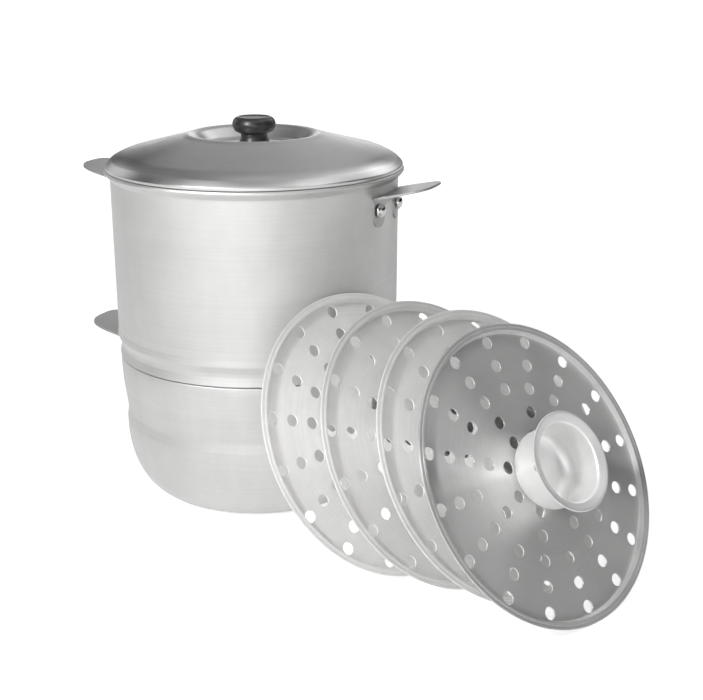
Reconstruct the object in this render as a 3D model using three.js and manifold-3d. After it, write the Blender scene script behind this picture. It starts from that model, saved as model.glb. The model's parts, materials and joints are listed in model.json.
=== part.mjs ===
// Tiered steamer pot in aluminium: a water pot, a bottomless steamer body that stands in its rim,
// a shallow cone lid with a moulded knob, and four perforated trays with a flared cup in the middle.
// The trays stand on edge beside the pot and lean towards it, one behind the other.
// Units are millimetres. Origin: centre of the pot's base on the floor. +Z up, X along the handles.
import * as THREE from 'three';
import { mergeVertices } from 'three/addons/utils/BufferGeometryUtils.js';
import Module from 'manifold-3d';

const wasm = await Module();
wasm.setup();

// ---- driving dimensions ----
const SHEET = 1.8; // wall of the pot and the steamer body
const GAP = 0.35; // clearance kept between touching pieces
const POT_H = 142; // rim of the water pot above the floor
const POT_R = 138.4; // outer radius just under the rim
const POT_BELLY_R = 135.2; // outer radius where the base corner ends
const POT_BASE_R = 96; // flat part of the base
const POT_CORNER_H = 70; // height of the rounded base corner
const POT_RING_Z = 84; // bottom of the pressed ring
const POT_RING_H = 9; // height of the pressed ring's slope
const BODY_R = 140; // outer radius of the steamer body
const BODY_TOP = 328.6; // top of its rolled rim
const BODY_RIM_R = 146.1; // outermost radius of the rolled rim
const NECK_R = 137.3; // outer radius of the stepped neck
const NECK_Z0 = 145.6; // neck, lower end
const NECK_Z1 = 156.5; // neck, upper end
const SHOULDER_Z = 161.5; // where the full radius starts
const LIP_R = 138.9; // lip that rests on the pot's rim
const SKIRT_R = 135.2; // skirt that stands inside the pot's rim
const SKIRT_Z = 137.6; // lower end of the skirt
const LEDGE_R = 124.5; // inner radius of the inturned ledge that carries the trays
const LID_R = 144.5; // lid edge
const LID_Z = BODY_TOP + GAP; // underside of the lid's edge
const LID_T = 1.6; // lid sheet
const LID_CREST_R = 63; // raised ring on the lid
const LID_CREST_Z = 357.6; // top of that ring
const LID_WELL_Z = 345.6; // floor of the sunk middle
const LID_WELL_R = 50; // radius of the sunk middle
const LID_BOSS_R = 28.5; // raised disc under the knob
const LID_BOSS_Z = 347; // top of the raised disc
const LID_PILOT_R = 134.6; // outer radius of the step that centres the lid
const KNOB_R = 21.2; // widest radius of the knob
const KNOB_FOOT_R = 14.5; // radius of its foot
const KNOB_NECK_R = 12.6; // radius of its neck
const KNOB_H = 25.2; // height of the knob
const HANDLE_T = 2; // handle sheet
const HANDLE_HALF_W = 33.5; // half width of the handle
const HANDLE_REACH = 47; // length of the tongue from the wall
const HANDLE_SLOPE = THREE.MathUtils.degToRad(12.5); // rise of the tongue
const HANDLE_POWER = 3.2; // squareness of the tongue's outline
const UPPER_BEND_Z = 307; // bend line of the upper handles
const LOWER_BEND_Z = 142.3; // bend line of the lower handles
const LUG_DROP = 27; // length of the lugs below the bend line
const LUG_INNER = 12.5; // half width of the gap between the lugs
const RIVET_SPACING = 46; // between the two rivets of a handle
const RIVET_DROP = 12; // rivets below the bend line
const RIVET_HEAD_R = 6.8; // domed head
const RIVET_HEAD_H = 4.4; // its height
const RIVET_SHANK_R = 3; // shank
const TRAY_R = 131; // tray outer radius
const TRAY_T = 1.4; // tray sheet
const TRAY_STEP = 5.5; // floor of the tray below its edge
const TRAY_FLOOR_R = 122.8; // flat floor
const HOLE_R = 5.5; // steam hole
const HOLE_RING_R = 117; // outermost ring of holes
const HOLE_PITCH = 21.1; // distance between rings
const SPOKES = 16; // holes in each of the three outer rings
const CUP_R = 42.7; // rim of the cup
const CUP_TOP = 35.6; // rim above the tray's edge plane
const CUP_WALL_R = 34; // cup wall
const CUP_FOOT_R = 21; // flat foot of the cup
const CUP_T = 1.2; // cup sheet
const VENT_R = 4.2; // hole in the cup's wall
const VENT_H = 28.6; // its height above the tray's edge plane
const VENT_ANGLE = THREE.MathUtils.degToRad(171); // its direction in the tray's own plane
// where each tray stands: distance from the pot's axis along the lean, sideways offset,
// direction of the lean, tilt from upright, turn in its own plane
const TRAY_PLACES = [
  { out: 208.3, side: -31.1, dir: -23.6, tilt: 30.2, turn: 1.3 },
  { out: 260.4, side: -11.3, dir: -23.1, tilt: 30.7, turn: 2.0 },
  { out: 311.6, side: 3.5, dir: -23.6, tilt: 31.2, turn: 2.8 },
  { out: 363.4, side: -1.1, dir: -24.0, tilt: 31.6, turn: -1.4 },
];
const LEAN_DIR = THREE.MathUtils.degToRad(-23.5); // direction in which the trays are set out
const RING_SEGMENTS = 40; // facets round the pot
const TRAY_SEGMENTS = 36; // facets round a tray
const CUP_SEGMENTS = 20; // facets round a cup
const HOLE_SIDES = 5; // facets round a steam hole

// ---- materials ----
const satin = () => new THREE.MeshStandardMaterial({ color: 0xd4d3d2, roughness: 0.42, metalness: 1 });
const spun = () => new THREE.MeshStandardMaterial({ color: 0xa6a6a7, roughness: 0.34, metalness: 1 });
const bright = () => new THREE.MeshStandardMaterial({ color: 0xc4c4c5, roughness: 0.24, metalness: 1 });
const bakelite = () => new THREE.MeshStandardMaterial({ color: 0x121213, roughness: 0.22, metalness: 0 });
const steel = () => new THREE.MeshStandardMaterial({ color: 0x9c9c9d, roughness: 0.3, metalness: 1 });

// ---- closed solids ----
function positionsOnly(geometry) {
  const g = geometry.clone();
  g.deleteAttribute('normal');
  g.deleteAttribute('uv');
  return mergeVertices(g, 1e-4);
}

function toSolid(geometry) {
  const g = positionsOnly(geometry);
  const pos = g.attributes.position.array;
  const tri = [];
  let volume = 0;
  for (let i = 0; i < g.index.count; i += 3) {
    const [a, b, c] = [g.index.getX(i), g.index.getX(i + 1), g.index.getX(i + 2)];
    if (a === b || b === c || a === c) continue;
    tri.push(a, b, c);
    const [pa, pb, pc] = [a, b, c].map((k) => new THREE.Vector3().fromArray(pos, 3 * k));
    volume += pa.dot(pb.cross(pc));
  }
  if (volume < 0) {
    for (let i = 0; i < tri.length; i += 3) [tri[i + 1], tri[i + 2]] = [tri[i + 2], tri[i + 1]];
  }
  const vertProperties = Float32Array.from(pos);
  const triVerts = Uint32Array.from(tri);
  return new wasm.Manifold(new wasm.Mesh({ numProp: 3, vertProperties, triVerts }));
}

function toGeometry(solid) {
  const m = solid.getMesh();
  const g = new THREE.BufferGeometry();
  g.setAttribute('position', new THREE.BufferAttribute(new Float32Array(m.vertProperties), 3));
  g.setIndex(new THREE.BufferAttribute(new Uint32Array(m.triVerts), 1));
  g.computeVertexNormals();
  return g;
}

// a profile of [radius, height] turned about the Z axis
function turned(profile, segments = RING_SEGMENTS) {
  const points = profile.map(([r, z]) => new THREE.Vector2(r, z));
  const g = new THREE.LatheGeometry(points, segments);
  g.rotateX(Math.PI / 2);
  return toSolid(g);
}

function closedRing(profile, segments) {
  return turned([...profile, profile[0]], segments);
}

// a quarter ellipse from (r0, z0) on the base to (r1, z1) on the wall
function corner(r0, z0, r1, z1, steps) {
  const out = [];
  for (let i = 0; i <= steps; i += 1) {
    const t = (i / steps) * (Math.PI / 2);
    out.push([r0 + (r1 - r0) * Math.sin(t), z1 - (z1 - z0) * Math.cos(t)]);
  }
  return out;
}

// a plain round bar between two points
function bar(from, to, radius, sides) {
  const a = new THREE.Vector3(...from);
  const b = new THREE.Vector3(...to);
  const g = new THREE.CylinderGeometry(radius, radius, a.distanceTo(b), sides);
  const dir = b.clone().sub(a).normalize();
  g.applyQuaternion(new THREE.Quaternion().setFromUnitVectors(new THREE.Vector3(0, 1, 0), dir));
  g.translate(...a.add(b).multiplyScalar(0.5).toArray());
  return toSolid(g);
}

// inner radius of a handle's lugs: clear of the wall and of the steamer body's lip
const seat = (tier) => Math.max(tier.wall, LIP_R) + GAP;

// ---- rivet places: two for each of the four handles ----
const rivetAngle = Math.asin(RIVET_SPACING / 2 / BODY_R);
const handleSides = [
  { name: 'right', turn: 0 },
  { name: 'left', turn: Math.PI },
];
const tiers = [
  { name: 'lower', bend: LOWER_BEND_Z, wall: POT_R },
  { name: 'upper', bend: UPPER_BEND_Z, wall: BODY_R },
];

function rivetHoles(solid, tier) {
  let out = solid;
  for (const side of handleSides) {
    for (const sign of [-1, 1]) {
      const a = side.turn + sign * rivetAngle;
      const z = tier.bend - RIVET_DROP;
      const from = [Math.cos(a) * (tier.wall - 12), Math.sin(a) * (tier.wall - 12), z];
      const to = [Math.cos(a) * (tier.wall + 12), Math.sin(a) * (tier.wall + 12), z];
      out = out.subtract(bar(from, to, RIVET_SHANK_R + GAP, 8));
    }
  }
  return out;
}

// ---- water pot: flat base, large rounded corner, pressed ring, straight upper wall ----
function waterPot() {
  const outside = [
    [0, 0],
    ...corner(POT_BASE_R, 0, POT_BELLY_R, POT_CORNER_H, 4),
    [POT_BELLY_R - 0.8, POT_RING_Z],
    [POT_BELLY_R + 0.9, POT_RING_Z + POT_RING_H],
    [POT_R, POT_H - 8],
    [POT_R, POT_H],
  ];
  const inside = [
    [POT_R - SHEET, POT_H],
    [POT_R - SHEET, POT_H - 12],
    [POT_BELLY_R + 0.9 - SHEET, POT_RING_Z + POT_RING_H],
    [POT_BELLY_R - 0.8 - SHEET, POT_RING_Z],
    ...corner(POT_BASE_R - 1, SHEET + 0.4, POT_BELLY_R - SHEET, POT_CORNER_H, 4).reverse(),
    [0, SHEET + 0.4],
  ];
  return rivetHoles(turned([...outside, ...inside]), tiers[0]);
}

// ---- steamer body: open tube with a rolled rim, a stepped neck and an inturned ledge ----
function steamerBody() {
  const ri = BODY_R - SHEET;
  const profile = [
    [LEDGE_R, SKIRT_Z],
    [SKIRT_R, SKIRT_Z],
    [SKIRT_R, POT_H + GAP],
    [LIP_R, POT_H + GAP],
    [LIP_R, NECK_Z0 - 1],
    [NECK_R, NECK_Z0],
    [NECK_R, NECK_Z1],
    [BODY_R, SHOULDER_Z],
    [BODY_R, BODY_TOP - 13],
    [BODY_RIM_R - 1, BODY_TOP - 7.4],
    [BODY_RIM_R, BODY_TOP - 4.4],
    [BODY_RIM_R - 2.2, BODY_TOP - 0.4],
    [BODY_RIM_R - 4.6, BODY_TOP],
    [ri, BODY_TOP - 1],
    [ri, SHOULDER_Z],
    [NECK_R - SHEET, NECK_Z1],
    [NECK_R - SHEET, NECK_Z0],
    [SKIRT_R - SHEET, POT_H],
    [SKIRT_R - SHEET, SKIRT_Z + SHEET],
    [LEDGE_R, SKIRT_Z + SHEET],
  ];
  return rivetHoles(closedRing(profile), tiers[1]);
}

// ---- lid: rounded edge, shallow cone, raised ring, sunk middle with a raised disc ----
function lidShell() {
  const t = LID_T;
  const slope = (LID_CREST_Z - 2 - 339.7) / (130 - LID_CREST_R - 6);
  const coneZ = (r) => 339.7 + slope * (130 - r);
  const screw = RIVET_SHANK_R - 0.65;
  const profile = [
    [screw, LID_BOSS_Z - t],
    [LID_BOSS_R - 2, LID_BOSS_Z - t],
    [LID_BOSS_R, LID_WELL_Z - t],
    [LID_WELL_R, LID_WELL_Z - t],
    [LID_CREST_R - 4.5, LID_CREST_Z - 1.4 - t],
    [LID_CREST_R, LID_CREST_Z - t],
    [LID_CREST_R + 6, coneZ(LID_CREST_R + 6) - t],
    [LID_PILOT_R - 2.2, coneZ(LID_PILOT_R - 2.2) - t - 0.4],
    [LID_PILOT_R - 1.4, LID_Z - 5.5],
    [LID_PILOT_R, LID_Z - 5.5],
    [LID_PILOT_R + 0.6, LID_Z],
    [LID_R - 0.6, LID_Z],
    [LID_R, LID_Z + 2.6],
    [LID_R - 2.3, LID_Z + 6],
    [130, 339.7],
    [LID_CREST_R + 6, coneZ(LID_CREST_R + 6)],
    [LID_CREST_R, LID_CREST_Z],
    [LID_CREST_R - 5, LID_CREST_Z - 1.4],
    [LID_WELL_R - 1, LID_WELL_Z],
    [LID_BOSS_R, LID_WELL_Z],
    [LID_BOSS_R - 1.2, LID_BOSS_Z],
    [screw, LID_BOSS_Z],
  ];
  return closedRing(profile);
}

// ---- knob: flared foot, neck, wide cap with a dished top, blind hole for the screw ----
const KNOB_Z = LID_BOSS_Z + GAP;
const SCREW_R = 2;
function knob() {
  const z = KNOB_Z;
  const hole = SCREW_R + GAP;
  const profile = [
    [0, z + 12],
    [hole, z + 12],
    [hole, z],
    [KNOB_FOOT_R, z],
    [KNOB_FOOT_R, z + 2],
    [KNOB_NECK_R, z + 5.5],
    [KNOB_NECK_R + 0.6, z + 9],
    [KNOB_R - 3.6, z + 11.8],
    [KNOB_R, z + 17.6],
    [KNOB_R - 1.6, z + 22],
    [KNOB_R - 4.6, z + KNOB_H],
    [KNOB_R - 7, z + KNOB_H - 0.8],
    [0, z + KNOB_H - 2],
  ];
  return turned(profile, 20);
}

const UNDER_Z = LID_BOSS_Z - LID_T - GAP; // underside of the lid at the knob
function washer() {
  const profile = [
    [SCREW_R + GAP, UNDER_Z - 1.2],
    [7, UNDER_Z - 1.2],
    [7, UNDER_Z],
    [SCREW_R + GAP, UNDER_Z],
  ];
  return closedRing(profile, 16);
}

function screw() {
  const head = UNDER_Z - 1.2 - GAP;
  const profile = [
    [0, head - 2.4],
    [3, head - 2.2],
    [4.2, head - 0.9],
    [4.2, head],
    [SCREW_R, head],
    [SCREW_R, KNOB_Z + 11.4],
    [0, KNOB_Z + 11.4],
  ];
  return turned(profile, 12);
}

// ---- handle: one bent plate, two lugs that hug the wall and a rising tongue ----
// A handle is made for the +X side and turned round for the other.
function handle(tier) {
  const inner = seat(tier);
  const outer = inner + HANDLE_T;
  const top = tier.bend + 1.2;
  const low = tier.bend - LUG_DROP;
  const w = HANDLE_HALF_W - 1.5;
  const round = 9;
  const shape = new THREE.Shape();
  shape.moveTo(-w + 3, top);
  shape.quadraticCurveTo(-w, top, -w, top - 4);
  shape.lineTo(-w, low + round);
  shape.quadraticCurveTo(-w, low, -w + round, low);
  shape.quadraticCurveTo(-LUG_INNER, low, -LUG_INNER, low + round);
  shape.lineTo(-LUG_INNER, tier.bend - 9);
  shape.quadraticCurveTo(-LUG_INNER, tier.bend - 5, -LUG_INNER + 5, tier.bend - 5);
  shape.lineTo(LUG_INNER - 5, tier.bend - 5);
  shape.quadraticCurveTo(LUG_INNER, tier.bend - 5, LUG_INNER, tier.bend - 9);
  shape.lineTo(LUG_INNER, low + round);
  shape.quadraticCurveTo(LUG_INNER, low, w - round, low);
  shape.quadraticCurveTo(w, low, w, low + round);
  shape.lineTo(w, top - 4);
  shape.quadraticCurveTo(w, top, w - 3, top);
  const prism = new THREE.ExtrudeGeometry(shape, { depth: 60, bevelEnabled: false, curveSegments: 3 });
  prism.rotateX(Math.PI / 2);
  prism.rotateZ(Math.PI / 2);
  prism.translate(inner - 35, 0, 0);
  const shell = closedRing([
    [inner, low - 2],
    [outer, low - 2],
    [outer, top + 2],
    [inner, top + 2],
  ]);
  const lugs = shell.intersect(toSolid(prism));

  const plate = new THREE.Shape();
  const reach = HANDLE_REACH + 12;
  plate.moveTo(-12, -HANDLE_HALF_W);
  const steps = 14;
  for (let i = 0; i <= steps; i += 1) {
    const t = -Math.PI / 2 + (i / steps) * Math.PI;
    const s = Math.sign(Math.sin(t)) * Math.abs(Math.sin(t)) ** (2 / HANDLE_POWER);
    const l = Math.abs(Math.cos(t)) ** (2 / HANDLE_POWER);
    plate.lineTo(l * (reach - 12), s * HANDLE_HALF_W);
  }
  plate.lineTo(-12, HANDLE_HALF_W);
  const slab = new THREE.ExtrudeGeometry(plate, { depth: HANDLE_T, bevelEnabled: false });
  slab.rotateY(-HANDLE_SLOPE);
  slab.translate(outer - 0.6, 0, tier.bend - HANDLE_T / 2);
  const core = turned([
    [0, tier.bend - 30],
    [inner, tier.bend - 30],
    [inner, tier.bend + 30],
    [0, tier.bend + 30],
  ]);
  let out = toSolid(slab).subtract(core).add(lugs);
  for (const sign of [-1, 1]) {
    const a = sign * rivetAngle;
    const z = tier.bend - RIVET_DROP;
    const from = [Math.cos(a) * (inner - 6), Math.sin(a) * (inner - 6), z];
    const to = [Math.cos(a) * (outer + 6), Math.sin(a) * (outer + 6), z];
    out = out.subtract(bar(from, to, RIVET_SHANK_R + GAP, 8));
  }
  return out;
}

// ---- rivet: domed head outside, shank through plate and wall, flat tail inside; axis along +X ----
function rivet(tier) {
  const out = seat(tier) + HANDLE_T + GAP;
  const into = tier.wall - SHEET - 1.6;
  const h = RIVET_HEAD_H;
  const profile = [
    [0, into - 1.2],
    [RIVET_SHANK_R + 1.6, into - 1.2],
    [RIVET_SHANK_R + 1.6, into],
    [RIVET_SHANK_R, into],
    [RIVET_SHANK_R, out + 0.25],
    [RIVET_HEAD_R, out + 0.25],
    [RIVET_HEAD_R * 0.84, out + h * 0.6],
    [RIVET_HEAD_R * 0.5, out + h * 0.9],
    [0, out + h],
  ];
  const g = new THREE.LatheGeometry(profile.map(([r, z]) => new THREE.Vector2(r, z)), 10);
  g.rotateX(Math.PI / 2);
  g.rotateY(Math.PI / 2);
  return toSolid(g);
}

// ---- tray: flat perforated floor, raised step and flat edge ----
function trayPlate() {
  const t = TRAY_T;
  const f = -TRAY_STEP;
  const profile = [
    [0, f - t],
    [TRAY_FLOOR_R, f - t],
    [TRAY_FLOOR_R + 2.6, -t - 1],
    [TRAY_R - 0.7, -t],
    [TRAY_R, -t / 2],
    [TRAY_R - 0.7, 0],
    [TRAY_FLOOR_R + 2, -0.8],
    [TRAY_FLOOR_R - 0.4, f],
    [0, f],
  ];
  let out = turned(profile, TRAY_SEGMENTS);
  let holes = null;
  for (let ring = 0; ring < 5; ring += 1) {
    const r = HOLE_RING_R - ring * HOLE_PITCH;
    for (let k = 0; k < SPOKES; k += 1) {
      if (ring > 2 && k % 2 === 0) continue;
      const a = (k / SPOKES) * Math.PI * 2;
      const [x, y] = [r * Math.cos(a), r * Math.sin(a)];
      const hole = bar([x, y, f - t - 1], [x, y, f + 1], HOLE_R, HOLE_SIDES);
      holes = holes ? holes.add(hole) : hole;
    }
  }
  out = out.subtract(holes);
  return out;
}

// ---- cup: flat foot, rounded lower corner, upright wall and a wide flared rim; one vent hole ----
function cup() {
  const z0 = -TRAY_STEP + GAP;
  const t = CUP_T;
  const profile = [
    [0, z0],
    ...corner(CUP_FOOT_R, z0, CUP_WALL_R, z0 + 13, 2),
    [CUP_WALL_R + 1, CUP_TOP - 3.2],
    [CUP_R - 0.4, CUP_TOP - 1.8],
    [CUP_R, CUP_TOP - 0.9],
    [CUP_R - 0.6, CUP_TOP],
    [CUP_WALL_R + 0.9, CUP_TOP - 1.6],
    [CUP_WALL_R - t, CUP_TOP - 5],
    ...corner(CUP_FOOT_R - 0.5, z0 + t, CUP_WALL_R - t, z0 + 13, 2).reverse(),
    [0, z0 + t],
  ];
  const body = turned(profile, CUP_SEGMENTS);
  const [c, s] = [Math.cos(VENT_ANGLE), Math.sin(VENT_ANGLE)];
  const vent = bar([c * 28, s * 28, VENT_H], [c * 40, s * 40, VENT_H], VENT_R, 8);
  return body.subtract(vent);
}

// ---- assembly ----
const object = new THREE.Group();

function add(parent, name, solid, material) {
  const mesh = new THREE.Mesh(toGeometry(solid), material);
  mesh.name = name;
  parent.add(mesh);
  return mesh;
}

add(object, 'lower_pot', waterPot(), satin());
add(object, 'steamer_body', steamerBody(), satin());
for (const tier of tiers) {
  const handleSolid = handle(tier);
  const rivetSolid = rivet(tier);
  for (const side of handleSides) {
    const mount = new THREE.Group();
    mount.rotation.z = side.turn;
    object.add(mount);
    add(mount, `${tier.name}_handle_${side.name}`, handleSolid, satin());
    [-1, 1].forEach((sign, i) => {
      const mesh = add(mount, `${tier.name}_rivet_${side.name}_${i + 1}`, rivetSolid, bright());
      mesh.rotation.z = sign * rivetAngle;
      mesh.position.z = tier.bend - RIVET_DROP;
    });
  }
}

add(object, 'lid', lidShell(), spun());
add(object, 'lid_knob', knob(), bakelite());
add(object, 'knob_washer', washer(), steel());
add(object, 'knob_screw', screw(), steel());

const plateSolid = trayPlate();
const cupSolid = cup();
TRAY_PLACES.forEach((place, i) => {
  const tilt = THREE.MathUtils.degToRad(place.tilt);
  const stand = new THREE.Group();
  const [c, s] = [Math.cos(LEAN_DIR), Math.sin(LEAN_DIR)];
  const height = TRAY_R * Math.cos(tilt) + 0.5 * TRAY_T * Math.sin(tilt) + GAP;
  stand.position.set(place.out * c - place.side * s, place.out * s + place.side * c, height);
  stand.rotation.z = THREE.MathUtils.degToRad(place.dir);
  const lean = new THREE.Group();
  lean.rotation.y = Math.PI / 2 - tilt;
  stand.add(lean);
  object.add(stand);
  const plate = add(lean, `tray_plate_${i + 1}`, plateSolid, bright());
  plate.rotation.z = Math.PI / 2 + THREE.MathUtils.degToRad(place.turn);
  const middle = add(lean, `tray_cup_${i + 1}`, cupSolid, bright());
  middle.rotation.z = Math.PI / 2;
});

export default object;
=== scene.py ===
"""Tiered aluminium steamer pot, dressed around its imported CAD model.

Every piece is rebuilt as a fine mesh in the place of its CAD node: spun pieces are turned from a
profile with true fillets, trays and cups are perforated discs pressed to a profile, and handles
are cut flat and bent. Profiles are in millimetres, in the row frame; meshes are in metres.
"""

import json
import math

import bmesh
import bpy
from mathutils import Matrix, Vector
from mathutils.geometry import delaunay_2d_cdt

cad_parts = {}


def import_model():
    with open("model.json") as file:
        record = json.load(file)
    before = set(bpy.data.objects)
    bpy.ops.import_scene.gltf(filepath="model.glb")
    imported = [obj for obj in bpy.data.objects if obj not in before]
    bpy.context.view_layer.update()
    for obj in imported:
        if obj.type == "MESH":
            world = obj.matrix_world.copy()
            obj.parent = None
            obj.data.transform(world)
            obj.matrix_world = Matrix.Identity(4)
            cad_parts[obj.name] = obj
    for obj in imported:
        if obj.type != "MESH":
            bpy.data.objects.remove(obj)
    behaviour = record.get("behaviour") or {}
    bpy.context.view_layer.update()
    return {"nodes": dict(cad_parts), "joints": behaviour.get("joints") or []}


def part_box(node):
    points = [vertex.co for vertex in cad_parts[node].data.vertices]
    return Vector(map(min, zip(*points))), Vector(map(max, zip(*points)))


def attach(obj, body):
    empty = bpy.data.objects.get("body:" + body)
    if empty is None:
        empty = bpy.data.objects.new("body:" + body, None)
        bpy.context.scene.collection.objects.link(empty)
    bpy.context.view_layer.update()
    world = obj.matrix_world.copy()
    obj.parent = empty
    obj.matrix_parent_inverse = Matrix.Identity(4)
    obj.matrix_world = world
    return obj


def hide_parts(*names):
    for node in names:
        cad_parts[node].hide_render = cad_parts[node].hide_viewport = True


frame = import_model()

MM = 0.001
ON_AXIS = 1e-6  # a smaller radius than this is on the axis
TURN_STEPS = 192  # facets round a spun piece
SMOOTH_ANGLE = math.radians(38)


def low(node):
    """Lowest height of a CAD node, in mm."""
    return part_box(node)[0].z / MM


def top(node):
    """Highest height of a CAD node, in mm."""
    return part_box(node)[1].z / MM


# ---- heights and radii the frame gives, in mm ----
POT_TOP = top("lower_pot")
BODY_LOW = low("steamer_body")
BODY_TOP = top("steamer_body")
BODY_RIM_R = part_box("steamer_body")[1].y / MM
LID_LOW = low("lid")
LID_CREST_Z = top("lid")
LID_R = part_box("lid")[1].y / MM
KNOB_LOW = low("lid_knob")
KNOB_TOP = top("lid_knob")
KNOB_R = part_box("lid_knob")[1].y / MM

# ---- the rest of the design, in mm, as the CAD source has it ----
SHEET = 1.8
POT_R = 138.4
POT_BELLY_R = 135.3
POT_BASE_R = 96
POT_CORNER_H = 70
BODY_R = 140
NECK_R = 137.3
LIP_R = 138.9
SKIRT_R = 135.2
LEDGE_R = 124.5
LID_T = 1.6
HANDLE_T = 2
HANDLE_HALF_W = 33.5
LUG_HALF_W = 32
LUG_INNER = 12.5
LUG_DROP = 27.5
HANDLE_REACH = 47
HANDLE_SLOPE = math.radians(12.5)
HANDLE_POWER = 3.2
HANDLE_GAP = 0.35
UPPER_BEND_Z = 307
LOWER_BEND_Z = 142.3
RIVET_SPACING = 46
RIVET_DROP = 12
RIVET_HEAD_R = 6.8
RIVET_HEAD_H = 4.4
RIVET_SHANK_R = 3
TRAY_T = 1.4
TRAY_R = 131
TRAY_STEP = 5.5
HOLE_R = 5.5
HOLE_RING_R = 117
HOLE_PITCH = 21.1
HOLE_RINGS = 5
SPOKES = 16
TRAY_TURNS = [1.3, 2.0, 2.8, -1.4]  # degrees each tray is turned in its own plane
CUP_R = 42.7
CUP_TOP = 35.6
CUP_WALL_R = 34
CUP_T = 1.2
VENT_R = 4.2
VENT_H = 28.6
VENT_ANGLE = math.radians(171)

# ---- details only this script has, in mm ----
NECK_TOP_Z = 155.8  # the body's neck ends here and its wall widens
LID_CONE_R = 130  # the lid's cone is straight inside this radius
LID_CONE_Z = 339.7  # and this high there
LID_CREST_R = 63
LID_DISH_DEPTH = 1.4  # of the sunk middle, below the knob's seat
LID_BORE_R = 2.35  # the screw's hole, through the lid and up into the knob
SCREW_PITCH = 0.7
HANDLE_BEND_R = 2.6
HANDLE_MESH_STEP = 1.6
RIVET_CROWN = math.radians(62)  # half the arc of a rivet's dome
HOLE_POINTS = 40  # points round a steam hole


# ---------------------------------------------------------------- mesh tools
def rounded(points, step=math.radians(9)):
    """A polyline of (r, z) or (r, z, fillet) points, with each fillet drawn as an arc."""
    flat = [Vector(p[:2]) for p in points]
    out = [flat[0]]
    for i in range(1, len(points) - 1):
        radius = points[i][2] if len(points[i]) > 2 else 0
        here, before, after = flat[i], flat[i - 1] - flat[i], flat[i + 1] - flat[i]
        half = before.angle(after) / 2
        if radius <= 0 or half > math.radians(89.5):
            out.append(here)
            continue
        reach = min(radius / math.tan(half), 0.49 * before.length, 0.49 * after.length)
        radius = reach * math.tan(half)
        a, b = here + before.normalized() * reach, here + after.normalized() * reach
        middle = here + (before.normalized() + after.normalized()).normalized() * radius / math.sin(half)
        sweep = math.pi - 2 * half
        count = max(2, math.ceil(sweep / step))
        side = 1 if (a - middle).cross(b - middle) > 0 else -1
        for k in range(count + 1):
            turn = Matrix.Rotation(side * sweep * k / count, 2)
            out.append(middle + turn @ (a - middle))
    out.append(flat[-1])
    return out


def ellipse_corner(r0, z0, r1, z1, count=26):
    """A quarter ellipse, from its foot at (r0, z0) out and up to (r1, z1)."""
    out = []
    for k in range(count + 1):
        a = math.pi / 2 * k / count
        out.append((r0 + (r1 - r0) * math.sin(a), z1 - (z1 - z0) * math.cos(a)))
    return out


def rounded_tail(start, middle, end):
    """Fillets a run of points that carries on from an earlier one."""
    return [tuple(p) for p in rounded([start, *middle, end])][1:]


def arc_cap(r, z, radius, count=6):
    """A half round edge, from the outside over the top to the inside."""
    out = []
    for k in range(count + 1):
        a = math.pi * k / count
        out.append((r + radius * math.cos(a), z + radius * math.sin(a)))
    return out


def finish_mesh(name, mesh, place=None):
    """Links a mesh as an object, outward normals, smooth except at sharp edges.

    The mesh keeps where each point lies in the piece's own axes, which its materials read.
    """
    bm = bmesh.new()
    bm.from_mesh(mesh)
    bmesh.ops.recalc_face_normals(bm, faces=bm.faces)
    bm.to_mesh(mesh)
    bm.free()
    for polygon in mesh.polygons:
        polygon.use_smooth = True
    mesh.set_sharp_from_angle(angle=SMOOTH_ANGLE)
    own = mesh.attributes.new("own_place", "FLOAT_VECTOR", "POINT")
    own.data.foreach_set("vector", [c for v in mesh.vertices for c in v.co])
    if place is not None:
        mesh.transform(place)
    obj = bpy.data.objects.new(name, mesh)
    bpy.context.scene.collection.objects.link(obj)
    return obj


def turned(name, profile, place=None, steps=TURN_STEPS):
    """A solid turned about Z. A profile that leaves the axis closes on itself."""
    points = list(profile)
    verts, rings = [], []
    for r, z in points:
        count = 1 if r < ON_AXIS else steps
        rings.append((len(verts), count))
        for k in range(count):
            a = 2 * math.pi * k / steps
            verts.append((r * math.cos(a) * MM, r * math.sin(a) * MM, z * MM))
    faces = []
    pairs = list(zip(rings, rings[1:]))
    if points[0][0] > ON_AXIS:
        pairs.append((rings[-1], rings[0]))
    for (a, na), (b, nb) in pairs:
        for k in range(steps):
            n = (k + 1) % steps
            loop = [a + k % na, b + k % nb, b + n % nb, a + n % na]
            loop = list(dict.fromkeys(loop))
            if len(loop) > 2:
                faces.append(loop)
    mesh = bpy.data.meshes.new(name)
    mesh.from_pydata(verts, [], faces)
    return finish_mesh(name, mesh, place)


def bend_sheet(name, points, edges, keep, shape, thickness, bevel, place=None):
    """A flat cut sheet, triangulated, pressed to shape(x, y), thickened and with its edges eased."""
    found = delaunay_2d_cdt([Vector(p) for p in points], edges, [], 0, 1e-5)
    flat, faces = found[0], found[2]
    kept = [f for f in faces if keep(sum((flat[i] for i in f), Vector((0, 0))) / len(f))]
    used = sorted({i for f in kept for i in f})
    index = {i: k for k, i in enumerate(used)}
    verts = [[c * MM for c in shape(*flat[i])] for i in used]
    mesh = bpy.data.meshes.new(name)
    mesh.from_pydata(verts, [], [[index[i] for i in f] for f in kept])
    obj = bpy.data.objects.new(name, mesh)
    bpy.context.scene.collection.objects.link(obj)
    solid = obj.modifiers.new("thickness", "SOLIDIFY")
    solid.thickness = thickness * MM
    solid.offset = -1
    ease = obj.modifiers.new("eased_edges", "BEVEL")
    ease.width = bevel * MM
    ease.segments = 2
    ease.limit_method = "ANGLE"
    ease.angle_limit = math.radians(50)
    graph = bpy.context.evaluated_depsgraph_get()
    made = bpy.data.meshes.new_from_object(obj.evaluated_get(graph))
    bpy.data.objects.remove(obj)
    made.name = name
    return finish_mesh(name, made, place)


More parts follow.
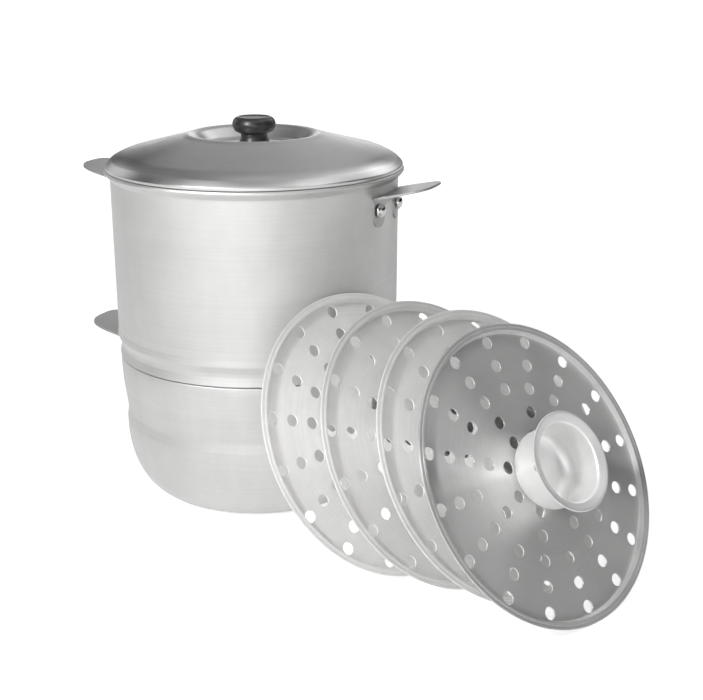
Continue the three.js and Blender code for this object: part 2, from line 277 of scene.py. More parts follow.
def even_steps(outline, step):
    """Splits long stretches of a closed outline."""
    out = []
    for a, b in zip(outline, outline[1:] + outline[:1]):
        length = math.dist(a, b)
        if length < 0.15:
            continue
        count = max(1, round(length / step))
        out += [(a[0] + (b[0] - a[0]) * k / count, a[1] + (b[1] - a[1]) * k / count) for k in range(count)]
    return out


def inside(p, loop):
    """Whether a point lies inside a closed outline."""
    found = False
    for a, b in zip(loop, loop[1:] + loop[:1]):
        if (a.y > p.y) != (b.y > p.y) and p.x < a.x + (p.y - a.y) * (b.x - a.x) / (b.y - a.y):
            found = not found
    return found


def loop_edges(start, count):
    return [(start + k, start + (k + 1) % count) for k in range(count)]


def pressed_disc(name, profile, holes, thickness, spokes=120, spacing=5.0, bevel=0.3):
    """A round sheet pressed to a profile and pierced. A hole is (angle, distance, radius)."""
    lengths = [0.0]
    for a, b in zip(profile, profile[1:]):
        lengths.append(lengths[-1] + (b - a).length)

    def at(s):
        for a, b, s0, s1 in zip(profile, profile[1:], lengths, lengths[1:]):
            if s <= s1 + 1e-9:
                t = (s - s0) / max(s1 - s0, 1e-9)
                return a + (b - a) * t
        return profile[-1].copy()

    rings = []
    for s0, s1 in zip(lengths, lengths[1:]):
        count = max(1, round((s1 - s0) / spacing))
        rings += [s0 + (s1 - s0) * k / count for k in range(1, count + 1)]
    cut, cut_edges, centres = [], [], []
    for angle, distance, radius in holes:
        stretch = distance / max(at(distance).x, ON_AXIS)
        u = Vector((math.cos(angle), math.sin(angle)))
        v = Vector((-u.y, u.x)) * stretch
        for share in (1.0, 1.1, 1.25):
            start = len(cut)
            for k in range(HOLE_POINTS):
                a = 2 * math.pi * k / HOLE_POINTS
                cut.append(u * distance + (u * math.cos(a) + v * math.sin(a)) * radius * share)
            if share == 1.0:
                cut_edges += loop_edges(start, HOLE_POINTS)
        centres.append((u * distance, u, v / stretch, stretch, radius))

    def share_of(p, hole):
        c, u, v, stretch, radius = hole
        d = p - c
        return math.hypot(d.dot(u), d.dot(v) / stretch) / radius

    points, edges = list(cut), list(cut_edges)
    points.append(Vector((0, 0)))
    for s in rings:
        count = max(12, min(spokes, round(2 * math.pi * s / 3)))
        if s > 0.8 * lengths[-1]:
            count = spokes
        turns = [2 * math.pi * k / count for k in range(count)]
        ring = [Vector((s * math.cos(a), s * math.sin(a))) for a in turns]
        if s == rings[-1]:
            edges += loop_edges(len(points), count)
            points += ring
            continue
        near = [h for h in centres if abs(h[0].length - s) < h[4] * 1.6 * max(h[3], 1)]
        points += [p for p in ring if all(share_of(p, h) > 1.45 for h in near)]

    def keep(c):
        return all((c - h[0]).length > h[4] * 1.6 * h[3] or share_of(c, h) > 1 for h in centres)

    def shape(x, y):
        s = math.hypot(x, y)
        p = at(s)
        a = math.atan2(y, x)
        return p.x * math.cos(a), p.x * math.sin(a), p.y

    return bend_sheet(name, points, edges, keep, shape, thickness, bevel)


def dress(obj, node, body, material):
    """Puts a fine piece in the place of its CAD node."""
    obj.data.materials.clear()
    obj.data.materials.append(material)
    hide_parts(node)
    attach(obj, body)
    return obj


# ---------------------------------------------------------------- materials
def nodes_of(name):
    material = bpy.data.materials.new(name)
    material.use_nodes = True
    tree = material.node_tree
    return material, tree, tree.nodes["Principled BSDF"]


def math_node(tree, operation, *values, clamp=False):
    node = tree.nodes.new("ShaderNodeMath")
    node.operation = operation
    node.use_clamp = clamp
    for socket, value in zip(node.inputs, values):
        if isinstance(value, (int, float)):
            socket.default_value = value
        else:
            tree.links.new(value, socket)
    return node.outputs[0]


def noise(tree, vector, scale, detail=2.0, roughness=0.5):
    node = tree.nodes.new("ShaderNodeTexNoise")
    node.inputs["Scale"].default_value = scale
    node.inputs["Detail"].default_value = detail
    node.inputs["Roughness"].default_value = roughness
    tree.links.new(vector, node.inputs["Vector"])
    return node.outputs["Fac"]


def spread(tree, value, low_in, high_in, low_out, high_out):
    """Maps a value from one range to another, held at the ends."""
    node = tree.nodes.new("ShaderNodeMapRange")
    tree.links.new(value, node.inputs["Value"])
    for socket, number in zip(node.inputs[1:5], (low_in, high_in, low_out, high_out)):
        socket.default_value = number
    return node.outputs["Result"]


def own_place(tree):
    """Where a point lies in its piece's own axes."""
    node = tree.nodes.new("ShaderNodeAttribute")
    node.attribute_name = "own_place"
    return node.outputs["Vector"]


def scaled(tree, vector, by):
    """A vector, or a constant one, times a number."""
    node = tree.nodes.new("ShaderNodeVectorMath")
    node.operation = "SCALE"
    if isinstance(vector, bpy.types.NodeSocket):
        tree.links.new(vector, node.inputs[0])
    else:
        node.inputs[0].default_value = vector
    tree.links.new(by, node.inputs["Scale"])
    return node.outputs[0]


def turning_direction(tree, position, across, along):
    """The direction round a piece's axis, for marks left by turning.

    across and along are the piece's own X and Y axes.
    """
    split = tree.nodes.new("ShaderNodeSeparateXYZ")
    tree.links.new(position, split.inputs[0])
    back = math_node(tree, "MULTIPLY", split.outputs[1], -1.0)
    join = tree.nodes.new("ShaderNodeVectorMath")
    join.operation = "ADD"
    tree.links.new(scaled(tree, across, back), join.inputs[0])
    tree.links.new(scaled(tree, along, split.outputs[0]), join.inputs[1])
    unit = tree.nodes.new("ShaderNodeVectorMath")
    unit.operation = "NORMALIZE"
    tree.links.new(join.outputs[0], unit.inputs[0])
    return unit.outputs[0]


def stretched(tree, vector, scale, turn=(0, 0, 0)):
    node = tree.nodes.new("ShaderNodeMapping")
    node.inputs["Scale"].default_value = scale
    node.inputs["Rotation"].default_value = turn
    tree.links.new(vector, node.inputs["Vector"])
    return node.outputs["Vector"]


def lathe_marks(tree, position, pitch):
    """Fine rings left by spinning: noise over radius and height alone, broken up a little."""
    split = tree.nodes.new("ShaderNodeSeparateXYZ")
    tree.links.new(position, split.inputs[0])
    x, y, z = split.outputs
    square = math_node(tree, "ADD", math_node(tree, "MULTIPLY", x, x), math_node(tree, "MULTIPLY", y, y))
    radius = math_node(tree, "SQRT", square)
    wander = noise(tree, position, 9.0, 1.0)
    join = tree.nodes.new("ShaderNodeCombineXYZ")
    tree.links.new(math_node(tree, "MULTIPLY", radius, 1 / pitch), join.inputs[0])
    tree.links.new(math_node(tree, "MULTIPLY", z, 1 / pitch), join.inputs[1])
    tree.links.new(math_node(tree, "MULTIPLY", wander, 2.5), join.inputs[2])
    return noise(tree, join.outputs[0], 1.0, 3.0, 0.6)


SMUDGE = 0.05  # how much handling darkens the metal
SCRATCH = 0.5  # how strongly hair scratches show
BUMP_DEPTH = 0.0001  # metres


def bumped(tree, shader, height, strength):
    bump = tree.nodes.new("ShaderNodeBump")
    bump.inputs["Strength"].default_value = strength
    bump.inputs["Distance"].default_value = BUMP_DEPTH
    tree.links.new(height, bump.inputs["Height"])
    tree.links.new(bump.outputs[0], shader.inputs["Normal"])


def metal(
    name,
    colour,
    roughness,
    pitch=0.0011,
    marks=0.35,
    anisotropy=0.0,
    metallic=1.0,
    axes=((1, 0, 0), (0, 1, 0)),
):
    """Worked aluminium: ring marks, cloudy tone, handling smudges and hair scratches."""
    material, tree, shader = nodes_of(name)
    position = own_place(tree)
    rings = lathe_marks(tree, position, pitch)
    cloud = noise(tree, position, 14.0, 3.0)
    grain = noise(tree, position, 2600.0, 2.0)
    smears = noise(tree, stretched(tree, position, (28, 28, 11), (0.4, 0.2, 0.7)), 1.0, 4.0, 0.62)
    hair = noise(tree, stretched(tree, position, (1500, 26, 60), (0.3, 0.5, 0.9)), 1.0, 2.0)
    hair = spread(tree, hair, 0.70, 0.76, 0.0, 1.0)
    clouding = spread(tree, cloud, 0.3, 0.7, -0.03, 0.03)
    tone = math_node(tree, "ADD", clouding, spread(tree, rings, 0.3, 0.7, -0.035, 0.035))
    tone = math_node(tree, "ADD", tone, spread(tree, smears, 0.35, 0.7, 0.0, -SMUDGE))
    tone = math_node(tree, "ADD", tone, math_node(tree, "MULTIPLY", hair, 0.05 * SCRATCH))
    tone = math_node(tree, "ADD", tone, 1.0)
    tree.links.new(scaled(tree, colour, tone), shader.inputs["Base Color"])
    shader.inputs["Metallic"].default_value = metallic
    rough = math_node(tree, "ADD", roughness, spread(tree, rings, 0.3, 0.7, -0.03, 0.03))
    rough = math_node(tree, "ADD", rough, spread(tree, smears, 0.35, 0.75, -0.02, 0.07))
    shine = math_node(tree, "MULTIPLY", hair, 0.06 * SCRATCH)
    rough = math_node(tree, "SUBTRACT", rough, shine, clamp=True)
    tree.links.new(rough, shader.inputs["Roughness"])
    ring_height = math_node(tree, "MULTIPLY", rings, marks)
    height = math_node(tree, "ADD", ring_height, math_node(tree, "MULTIPLY", grain, 0.18))
    height = math_node(tree, "SUBTRACT", height, math_node(tree, "MULTIPLY", hair, 0.25 * SCRATCH))
    bumped(tree, shader, height, 0.16)
    if anisotropy:
        shader.inputs["Anisotropic"].default_value = anisotropy
        shader.inputs["Anisotropic Rotation"].default_value = 0.25
        tree.links.new(turning_direction(tree, position, *axes), shader.inputs["Tangent"])
    return material


def moulded(name):
    """Black phenolic moulding: a soft gloss, a cloudy tone, light rubbing and a faint grain."""
    material, tree, shader = nodes_of(name)
    position = own_place(tree)
    cloud = noise(tree, position, 60.0, 4.0, 0.6)
    grain = noise(tree, position, 1400.0, 3.0)
    rub = noise(tree, stretched(tree, position, (40, 40, 90)), 1.0, 5.0, 0.7)
    ramp = tree.nodes.new("ShaderNodeValToRGB")
    ramp.color_ramp.elements[0].position = 0.3
    ramp.color_ramp.elements[0].color = (0.014, 0.014, 0.0145, 1)
    ramp.color_ramp.elements[1].position = 0.75
    ramp.color_ramp.elements[1].color = (0.036, 0.036, 0.037, 1)
    tree.links.new(cloud, ramp.inputs[0])
    tree.links.new(ramp.outputs[0], shader.inputs["Base Color"])
    tree.links.new(spread(tree, rub, 0.3, 0.75, 0.30, 0.46), shader.inputs["Roughness"])
    shader.inputs["IOR"].default_value = 1.55
    shader.inputs["Coat Weight"].default_value = 0.2
    shader.inputs["Coat Roughness"].default_value = 0.3
    height = math_node(tree, "ADD", grain, math_node(tree, "MULTIPLY", cloud, 0.5))
    bumped(tree, shader, height, 0.12)
    return material


SATIN = metal("satin_wall", (0.745, 0.743, 0.738), 0.50, pitch=0.0012, marks=0.22)
# the handle plates are the wall's aluminium; their darker base colour is painted shade, standing in for
# the darker reflections the plates show
SATIN_HANDLE_PAINTED_SHADE = metal("satin_handle_painted_shade", (0.49, 0.488, 0.484), 0.40, pitch=0.0016, marks=0.1)
RIVET = metal("bright_rivet", (0.78, 0.778, 0.775), 0.22, pitch=0.0006, marks=0.2)
LID_SPUN = metal("spun_lid", (0.72, 0.718, 0.714), 0.33, pitch=0.0009, marks=0.35)
STEEL = metal("plated_steel", (0.58, 0.575, 0.56), 0.26, pitch=0.0005, marks=0.3)
BAKELITE = moulded("black_bakelite")

# tone, roughness and anisotropy of each tray, from the one against the pot to the front one; the trays are
# one metal, and their tones differ as painted light and shade for how brightly each is lit, the front
# tray's lower tone being painted shade
TRAY_SHADE_AND_FINISH = [
    (0.95, 0.82, 0.3),
    (0.93, 0.68, 0.5),
    (0.95, 0.75, 0.4),
    (0.82, 0.42, 0.92),
]
# the dull oxide on the pressed sheet scatters some light, so these are less than fully metallic
TRAY_METALLIC = 0.8
CUP_METALLIC = 0.6


def tray_metal(i, axes):
    tone, roughness, anisotropy = TRAY_SHADE_AND_FINISH[i - 1]
    return metal(
        f"turned_tray_{i}",
        (tone, tone * 0.998, tone * 0.992),
        roughness,
        pitch=0.0008,
        marks=0.3,
        anisotropy=anisotropy,
        metallic=TRAY_METALLIC,
        axes=axes,
    )


def cup_metal(i, axes):
    colour = (0.97, 0.968, 0.964)
    name = f"drawn_cup_{i}"
    return metal(name, colour, 0.42, pitch=0.0007, marks=0.2, metallic=CUP_METALLIC, axes=axes)


# ---------------------------------------------------------------- spun pieces
def water_pot():
    t = SHEET
    corner_out = ellipse_corner(POT_BASE_R, 0, POT_BELLY_R, POT_CORNER_H)
    corner_in = ellipse_corner(POT_BASE_R - 1, t + 0.4, POT_BELLY_R - t, POT_CORNER_H)
    ring = [
        (POT_BELLY_R, POT_CORNER_H + 5, 5),
        (POT_BELLY_R - 1.3, 85, 7),
        (POT_BELLY_R - 0.1, 95.5, 10),
        (POT_BELLY_R + 2.2, 114, 20),
        (POT_R, POT_TOP - 9, 20),
    ]
    outside = corner_out + rounded_tail(corner_out[-1], ring, (POT_R, POT_TOP - 0.7))
    inside = [(r - t, z) for r, z in outside[len(corner_out) :]]
    lip = arc_cap(POT_R - t / 2, POT_TOP - t / 2, t / 2)
    profile = [(0, 0)] + outside[:-1] + lip + inside[::-1][1:] + corner_in[::-1] + [(0, t + 0.4)]
    return turned("water_pot_shell", profile)


def steamer_body():
    ri = BODY_R - SHEET
    bead_r = BODY_RIM_R
    profile = [
        (LEDGE_R, BODY_LOW, 0),
        (SKIRT_R, BODY_LOW, 1.6),
        (SKIRT_R, POT_TOP + 1.0, 0),
        (LIP_R, POT_TOP + 1.0, 0.5),
        (LIP_R - 0.1, 144.2, 1.2),
        (NECK_R, 151.5, 6),
        (NECK_R, NECK_TOP_Z, 4),
        (BODY_R + 0.5, 162.2, 4),
        (BODY_R - 0.4, 169, 9),
        (BODY_R + 0.3, BODY_TOP - 11.6, 3),
        (bead_r - 1.6, BODY_TOP - 7.4, 1.4),
        (bead_r, BODY_TOP - 5.4, 1.5),
        (bead_r - 1.2, BODY_TOP - 3.2, 1.1),
        (LID_R - 3.2, BODY_TOP - 3.0, 0.8),
        (LID_R - 3.6, BODY_TOP, 1.2),
        (ri + 2.6, BODY_TOP, 1.6),
        (ri, BODY_TOP - 3.6, 3.0),
        (ri, 162.6, 7),
        (NECK_R - SHEET, 157, 5),
        (NECK_R - SHEET, 146.5, 2.2),
        (SKIRT_R - SHEET, POT_TOP, 2),
        (SKIRT_R - SHEET, BODY_LOW + SHEET, 1.2),
        (LEDGE_R, BODY_LOW + SHEET, 0),
    ]
    return turned("steamer_body_shell", rounded(profile))


def lid_shell():
    t = LID_T
    crest_r = LID_CREST_R
    slope = (LID_CREST_Z - 2 - LID_CONE_Z) / (LID_CONE_R - crest_r - 6)

    def cone(r):
        return LID_CONE_Z + slope * (LID_CONE_R - r)

    boss_z = KNOB_LOW - 0.35
    dish_z = boss_z - LID_DISH_DEPTH
    skirt_z = LID_LOW + 2.6
    upper = [
        (LID_BORE_R, boss_z, 0),
        (27.4, boss_z, 1.0),
        (28.8, dish_z, 1.0),
        (47, dish_z, 9),
        (57.5, LID_CREST_Z - 2.4, 5),
        (62.6, LID_CREST_Z + 0.35, 6),
        (crest_r + 7, cone(crest_r + 7), 9),
        (LID_CONE_R, LID_CONE_Z, 60),
        (139, 334.6, 8),
        (143.9, 329.6, 1.6),
        (LID_R, 328.6, 0.5),
        (LID_R - 0.1, skirt_z, 0.5),
    ]
    lower = [
        (LID_R - t, skirt_z, 0.5),
        (LID_R - t - 0.1, LID_LOW + 5.5, 0.7),
        (134.9, LID_LOW + 5.5, 1.0),
        (134.6, LID_LOW, 0.6),
        (133.3, LID_LOW, 0.6),
        (132.4, cone(132.4) - t - 0.4, 3),
        (crest_r + 6, cone(crest_r + 6) - t, 8),
        (crest_r, LID_CREST_Z - t, 5),
        (58, LID_CREST_Z - 3 - t, 5),
        (48, dish_z - t, 8),
        (29, dish_z - t, 1),
        (26.5, boss_z - t, 1),
        (LID_BORE_R, boss_z - t, 0),
    ]
    return turned("lid_shell", rounded(upper + lower))


def knob():
    z = KNOB_LOW
    high = KNOB_TOP - KNOB_LOW
    profile = [
        (0, z + 12, 0),
        (LID_BORE_R, z + 12, 0),
        (LID_BORE_R, z, 0),
        (14.5, z, 0.7),
        (14.4, z + 2.2, 1.2),
        (12.7, z + 5.6, 3.5),
        (13.0, z + 9.2, 2.6),
        (KNOB_R - 2.6, z + 11.6, 4.2),
        (KNOB_R + 0.5, z + 17.8, 6.0),
        (KNOB_R - 2.0, z + 23.6, 5.0),
        (KNOB_R - 5.6, z + high + 0.25, 1.6),
        (KNOB_R - 7.6, z + high - 0.9, 1.2),
        (0, z + high - 1.7, 0),
    ]
    return turned("knob_moulding", rounded(profile), steps=96)


def knob_washer():
    z0, z1 = low("knob_washer"), top("knob_washer")
    profile = [
        (2.4, z0, 0),
        (7, z0, 0.4),
        (7, z1, 0.4),
        (2.4, z1, 0),
    ]
    return turned("knob_washer_disc", rounded(profile), steps=64)


def knob_screw():
    z0, z1 = low("knob_screw"), top("knob_screw")
    profile = [
        (0, z0, 0),
        (3.2, z0 + 0.1, 1.2),
        (4.2, z0 + 1.4, 0.6),
        (4.2, z0 + 2.4, 0.2),
        (2, z0 + 2.4, 0),
    ]
    for k in range(int((z1 - z0 - 3.4) / SCREW_PITCH)):
        z = z0 + 2.8 + k * SCREW_PITCH
        profile += [(1.7, z, 0), (2.0, z + SCREW_PITCH / 2, 0)]
    profile += [(1.5, z1, 0), (0, z1, 0)]
    return turned("knob_screw_pan_head", rounded(profile), steps=48)


# ---------------------------------------------------------------- handles and rivets
def handle_seat(wall):
    """Radius of the inner face of a handle's lugs."""
    return max(wall, LIP_R) + HANDLE_GAP


def superellipse(t):
    """Across and along shares of a tongue's outline, for t from -90 to 90 degrees."""
    across = math.copysign(abs(math.sin(t)) ** (2 / HANDLE_POWER), math.sin(t))
    return across, abs(math.cos(t)) ** (2 / HANDLE_POWER)


def handle(name, bend_z, wall, turn):
    """One plate: a rising tongue, a bend along the wall and two lugs that hug it."""
    centre_r = handle_seat(wall) + HANDLE_T / 2
    bend_r, rise = HANDLE_BEND_R, HANDLE_SLOPE
    sweep = math.pi / 2 - rise
    arc, tangent = bend_r * sweep, bend_r * math.tan(sweep / 2)
    reach = HANDLE_REACH + HANDLE_T / 2 - 0.6

    def wall_x(v):
        return math.sqrt(centre_r**2 - v * v)

    def shape(v, s):
        x0 = wall_x(v)
        z0 = bend_z + (x0 - centre_r) * math.tan(rise)
        if s <= -arc / 2:
            return x0, v, z0 - tangent + (s + arc / 2)
        if s >= arc / 2:
            d = tangent + s - arc / 2
            return x0 + d * math.cos(rise), v, z0 + d * math.sin(rise)
        a = (s + arc / 2) / bend_r
        return x0 + bend_r * (1 - math.cos(a)), v, z0 - tangent + bend_r * math.sin(a)

    trim = 2 * tangent - arc
    outline = []
    count = 72
    for k in range(count + 1):
        across, along = superellipse(math.pi * (k / count - 0.5))
        v = across * HANDLE_HALF_W
        outline.append((v, along * reach + (centre_r - wall_x(v)) / math.cos(rise) - trim / 2))
    drop, inner, half = -LUG_DROP + trim / 2, LUG_INNER, LUG_HALF_W
    lug = [
        (HANDLE_HALF_W, 2.5, 1.0),
        (half, -2, 3),
        (half, drop, 10),
        (inner, drop, 10),
        (inner, -6.5, 4.5),
        (-inner, -6.5, 4.5),
        (-inner, drop, 10),
        (-half, drop, 10),
        (-half, -2, 3),
        (-HANDLE_HALF_W, 2.5, 1.0),
    ]
    outline += [tuple(p) for p in rounded([outline[-1], *lug, outline[0]])][1:-1]
    outline = even_steps(outline, 1.3)
    sides = [Vector(p) for p in outline]
    hole_at = [(s * RIVET_SPACING / 2, -RIVET_DROP + trim / 2) for s in (-1, 1)]
    hole_r = RIVET_SHANK_R + HANDLE_GAP
    points, edges = list(sides), loop_edges(0, len(sides))
    for v, s in hole_at:
        edges += loop_edges(len(points), 20)
        ring = [2 * math.pi * k / 20 for k in range(20)]
        points += [Vector((v + hole_r * math.cos(a), s + hole_r * math.sin(a))) for a in ring]
    step = HANDLE_MESH_STEP
    bend_rows = [arc * (k / 8 - 0.5) for k in range(9)]
    rows = [-arc / 2 - step * k for k in range(1, 18)] + bend_rows
    rows += [arc / 2 + step * k for k in range(1, 32)]
    for s in rows:
        for k in range(-21, 22):
            p = Vector((k * step, s))
            clear = min((p - q).length for q in sides) > 0.7
            if clear and inside(p, sides) and all((p - Vector(h)).length > hole_r + 0.8 for h in hole_at):
                points.append(p)

    def keep(c):
        return inside(c, sides) and all((c - Vector(h)).length > hole_r * 0.98 for h in hole_at)

    return bend_sheet(name, points, edges, keep, shape, HANDLE_T, 0.55, Matrix.Rotation(turn, 4, "Z"))


def rivet(name, bend_z, wall, turn):
    """A rivet along +X, turned to its place: spread tail inside the wall, domed head outside."""
    outer = handle_seat(wall) + HANDLE_T + HANDLE_GAP
    tail = wall - SHEET - 1.6
    head = outer + 0.25
    dome = []
    crown = RIVET_CROWN
    radius = RIVET_HEAD_R / math.sin(crown)
    scale = (RIVET_HEAD_H - 0.6) / (radius * (1 - math.cos(crown)))
    for k in range(13):
        a = crown * (1 - k / 12)
        dome.append((radius * math.sin(a), head + 0.35 + radius * (math.cos(a) - math.cos(crown)) * scale))
    dome[-1] = (0, dome[-1][1])
    profile = [
        (0, tail - 1.2),
        (RIVET_SHANK_R + 1.2, tail - 1.2),
        (RIVET_SHANK_R + 1.6, tail - 0.7),
        (RIVET_SHANK_R + 1.6, tail),
        (RIVET_SHANK_R, tail),
        (RIVET_SHANK_R, head),
        (RIVET_HEAD_R, head),
    ] + dome
    place = Matrix.Rotation(turn, 4, "Z") @ Matrix.Translation((0, 0, (bend_z - RIVET_DROP) * MM))
    return turned(name, profile, place @ Matrix.Rotation(math.pi / 2, 4, "Y"), steps=48)


# ---------------------------------------------------------------- trays
def tray_holes():
    """Five rings of holes; every second spoke stops after the three outer rings."""
    out = []
    for ring in range(HOLE_RINGS):
        for k in range(SPOKES):
            if ring > 2 and k % 2 == 0:
                continue
            out.append((2 * math.pi * k / SPOKES, HOLE_RING_R - ring * HOLE_PITCH, HOLE_R))
    return out


def tray_plate():
    profile = rounded(
        [
            (0, -TRAY_STEP, 0),
            (123.5, -TRAY_STEP, 1.2),
            (124.6, -0.6, 1.0),
            (127.3, -0.55, 0.5),
            (127.7, -0.9, 0.3),
            (128.1, -0.5, 0.5),
            (130.2, -0.3, 0.8),
            (TRAY_R, -0.5, 0),
        ]
    )
    return pressed_disc("tray_plate", profile, tray_holes(), TRAY_T, spokes=160)


def tray_cup():
    base = -TRAY_STEP + 0.35 + CUP_T
    wall = CUP_WALL_R - CUP_T
    profile = rounded(
        [
            (0, base, 0),
            (wall, base, 13.5),
            (wall + 0.4, CUP_TOP - 3.4, 2.6),
            (CUP_R - 1.5, CUP_TOP - 0.35, 3),
            (CUP_R - 0.2, CUP_TOP - 0.7, 0),
        ]
    )
    length, vent_at = 0.0, 0.0
    for a, b in zip(profile, profile[1:]):
        length += (b - a).length
        if a.x > wall - 1 and a.y < VENT_H <= b.y:
            vent_at = length - (b.y - VENT_H)
    hole = (VENT_ANGLE, vent_at, VENT_R)
    return pressed_disc("tray_cup", profile, [hole], CUP_T, spokes=120, spacing=2.2, bevel=0.35)


def tray_place(i):
    """Centre of a tray's edge plane and its axes, read from its CAD node and its joint."""
    joint = next(j for j in frame["joints"] if j["child"] == f"tray_{i}")
    n = Vector(joint["axis"]).normalized()
    verts = [v.co for v in frame["nodes"][f"tray_plate_{i}"].data.vertices]
    high = max(v.dot(n) for v in verts)
    edge = {tuple(round(c, 6) for c in v) for v in verts if v.dot(n) > high - 0.0002}
    centre = sum((Vector(v) for v in edge), Vector()) / len(edge)
    across = Vector((-n.y, n.x, 0)).normalized()
    along = across.cross(n)
    place = Matrix((along, across, n)).transposed().to_4x4()
    place.translation = centre
    return place


# ---------------------------------------------------------------- build
dress(water_pot(), "lower_pot", "water_pot", SATIN)
dress(steamer_body(), "steamer_body", "steamer", SATIN)
dress(lid_shell(), "lid", "lid", LID_SPUN)
dress(knob(), "lid_knob", "lid", BAKELITE)
dress(knob_washer(), "knob_washer", "lid", STEEL)
dress(knob_screw(), "knob_screw", "lid", STEEL)

rivet_angle = math.asin(RIVET_SPACING / 2 / BODY_R)
for tier, bend_z, wall, body in (
    ("lower", LOWER_BEND_Z, POT_R, "water_pot"),
    ("upper", UPPER_BEND_Z, BODY_R, "steamer"),
):
    for side, turn in (("right", 0.0), ("left", math.pi)):
        plate = handle(f"{tier}_{side}_handle_plate", bend_z, wall, turn)
        dress(plate, f"{tier}_handle_{side}", body, SATIN_HANDLE_PAINTED_SHADE)
        for k, sign in enumerate((-1, 1)):
            node = f"{tier}_rivet_{side}_{k + 1}"
            stud = rivet(f"{tier}_{side}_rivet_{k + 1}_stud", bend_z, wall, turn + sign * rivet_angle)
            dress(stud, node, body, RIVET)

plate_pattern = tray_plate()
cup_pattern = tray_cup()
for i, turn in enumerate(TRAY_TURNS, start=1):
    for pattern, kind, slot, finish, extra in (
        (plate_pattern, "plate", "tray_aluminium", tray_metal, math.radians(turn)),
        (cup_pattern, "cup", "cup_aluminium", cup_metal, 0.0),
    ):
        place = tray_place(i) @ Matrix.Rotation(math.pi / 2 + extra, 4, "Z")
        obj = bpy.data.objects.new(f"tray_{i}_{kind}_pressing", pattern.data.copy())
        bpy.context.scene.collection.objects.link(obj)
        obj.data.transform(place)
        axes = (place.to_3x3().col[0], place.to_3x3().col[1])
        dress(obj, f"tray_{kind}_{i}", f"tray_{i}", finish(i, axes))
for pattern in (plate_pattern, cup_pattern):
    bpy.data.objects.remove(pattern)


# ---------------------------------------------------------------- stage, light and camera
FLOOR_R = 12  # the floor, in metres
GLOW_NEAR_R = 1.2  # the floor is lit evenly up to here
GLOW_FAR_R = 2.6  # and fades to the backdrop's white by here
FLOOR_GLOW = 0.14  # emission of the near floor, as the object receives it
FAR_GLOW = 0.65  # and of the far floor
SEEN_FLOOR_GLOW = 0.6  # the same two, as the camera sees them
SEEN_FAR_GLOW = 1.0


def floor():
    """A white floor that the camera sees brighter than the object does."""
    mesh = bpy.data.meshes.new("floor")
    bm = bmesh.new()
    bmesh.ops.create_circle(bm, cap_ends=True, radius=FLOOR_R, segments=96)
    bm.to_mesh(mesh)
    bm.free()
    obj = bpy.data.objects.new("floor", mesh)
    bpy.context.scene.collection.objects.link(obj)
    material, tree, shader = nodes_of("pale_floor")
    shader.inputs["Base Color"].default_value = (0.86, 0.86, 0.86, 1)
    shader.inputs["Roughness"].default_value = 0.9
    shader.inputs["Specular IOR Level"].default_value = 0.1
    shader.inputs["Emission Color"].default_value = (1, 1, 1, 1)
    place = tree.nodes.new("ShaderNodeTexCoord").outputs["Object"]
    length = tree.nodes.new("ShaderNodeVectorMath")
    length.operation = "LENGTH"
    tree.links.new(place, length.inputs[0])
    glow = spread(tree, length.outputs["Value"], GLOW_NEAR_R, GLOW_FAR_R, FLOOR_GLOW, FAR_GLOW)
    seen = spread(tree, length.outputs["Value"], GLOW_NEAR_R, GLOW_FAR_R, SEEN_FLOOR_GLOW, SEEN_FAR_GLOW)
    mix = tree.nodes.new("ShaderNodeMix")
    tree.links.new(tree.nodes.new("ShaderNodeLightPath").outputs["Is Camera Ray"], mix.inputs["Factor"])
    tree.links.new(glow, mix.inputs["A"])
    tree.links.new(seen, mix.inputs["B"])
    tree.links.new(mix.outputs["Result"], shader.inputs["Emission Strength"])
    mesh.materials.append(material)
    return obj


CAMERA_AT = Vector((0.5614, -1.1259, 0.5337))
CAMERA_TURN = (math.radians(72.4), 0, math.radians(22.2))
CAMERA_LENS = 65.96
SENSOR_WIDTH = 36
CLIP_END = 100  # metres
LIGHT_CENTRE = Vector((0.12, -0.06, 0.16))
LIGHT_DISTANCE = 2.4
FRONT = math.atan2(CAMERA_AT.y, CAMERA_AT.x)


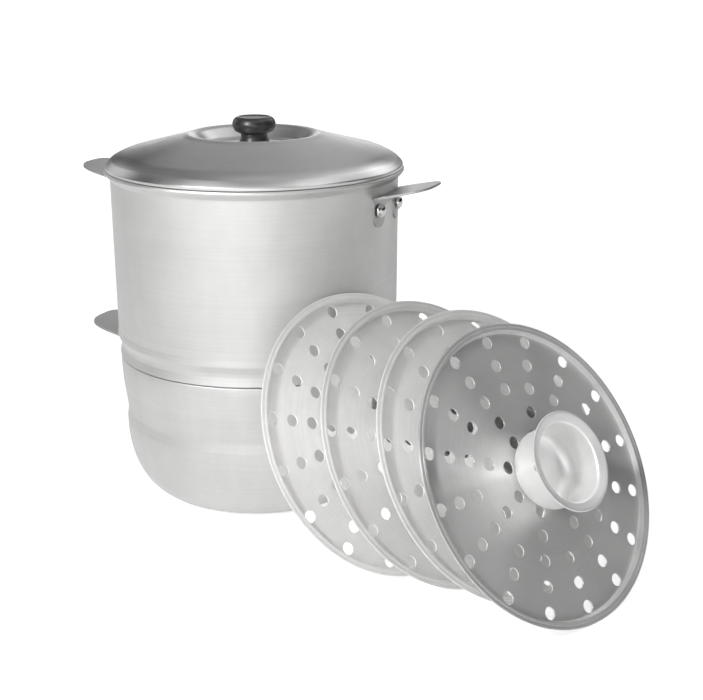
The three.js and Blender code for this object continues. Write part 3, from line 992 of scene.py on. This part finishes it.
def softbox(name, around, up, watts, size=1.3):
    """A round softbox. around is degrees to the right of the camera, up is degrees above the floor."""
    data = bpy.data.lights.new(name, "AREA")
    data.shape = "DISK"
    data.size = size
    data.energy = watts
    obj = bpy.data.objects.new(name, data)
    bpy.context.scene.collection.objects.link(obj)
    a, e = FRONT + math.radians(around), math.radians(up)
    back = Vector((math.cos(a) * math.cos(e), math.sin(a) * math.cos(e), math.sin(e)))
    obj.location = LIGHT_CENTRE + back * LIGHT_DISTANCE
    obj.rotation_mode = "QUATERNION"
    obj.rotation_quaternion = back.to_track_quat("Z", "Y")
    obj.visible_camera = False
    return obj


def world(strength):
    """A backdrop that is white to the camera and gives the object light of this strength."""
    made = bpy.data.worlds.new("studio")
    bpy.context.scene.world = made
    made.use_nodes = True
    tree = made.node_tree
    soft = tree.nodes["Background"]
    soft.inputs["Color"].default_value = (1, 1, 1, 1)
    soft.inputs["Strength"].default_value = strength
    seen = tree.nodes.new("ShaderNodeBackground")
    seen.inputs["Color"].default_value = (1, 1, 1, 1)
    mix = tree.nodes.new("ShaderNodeMixShader")
    path = tree.nodes.new("ShaderNodeLightPath")
    tree.links.new(path.outputs["Is Camera Ray"], mix.inputs[0])
    tree.links.new(soft.outputs[0], mix.inputs[1])
    tree.links.new(seen.outputs[0], mix.inputs[2])
    tree.links.new(mix.outputs[0], tree.nodes["World Output"].inputs["Surface"])


floor()
world(0.0)
softbox("left_key", -45, 34, 34, size=0.3)
softbox("front_left_key", -20, 20, 8)
softbox("high_left", -60, 58, 4)
softbox("high_front", 0, 58, 4)
softbox("high_right", 60, 58, 6.5)
softbox("high_far_right", 120, 58, 3.5)
softbox("front_low", 0, 8, 6)
softbox("front_right_low", 45, 8, 3.5)
softbox("right_back", 135, 32, 6)
softbox("back_low", 180, 8, 5)
softbox("left_back", -135, 20, 3.5)
softbox("back_high", 180, 32, 1.8)
softbox("back_right_high", 150, 45, 1.2)
softbox("back_left_high", -150, 40, 0.5)
softbox("overhead", 180, 84, 1.8)
softbox("back_top", 180, 62, 1.1)
softbox("left_top", -120, 60, 0.8)

camera = bpy.data.objects.new("camera", bpy.data.cameras.new("camera"))
bpy.context.scene.collection.objects.link(camera)
camera.location = CAMERA_AT
camera.rotation_euler = CAMERA_TURN
camera.data.lens = CAMERA_LENS
camera.data.sensor_width = SENSOR_WIDTH
camera.data.clip_end = CLIP_END
bpy.context.scene.camera = camera
bpy.context.scene.view_settings.view_transform = "Standard"
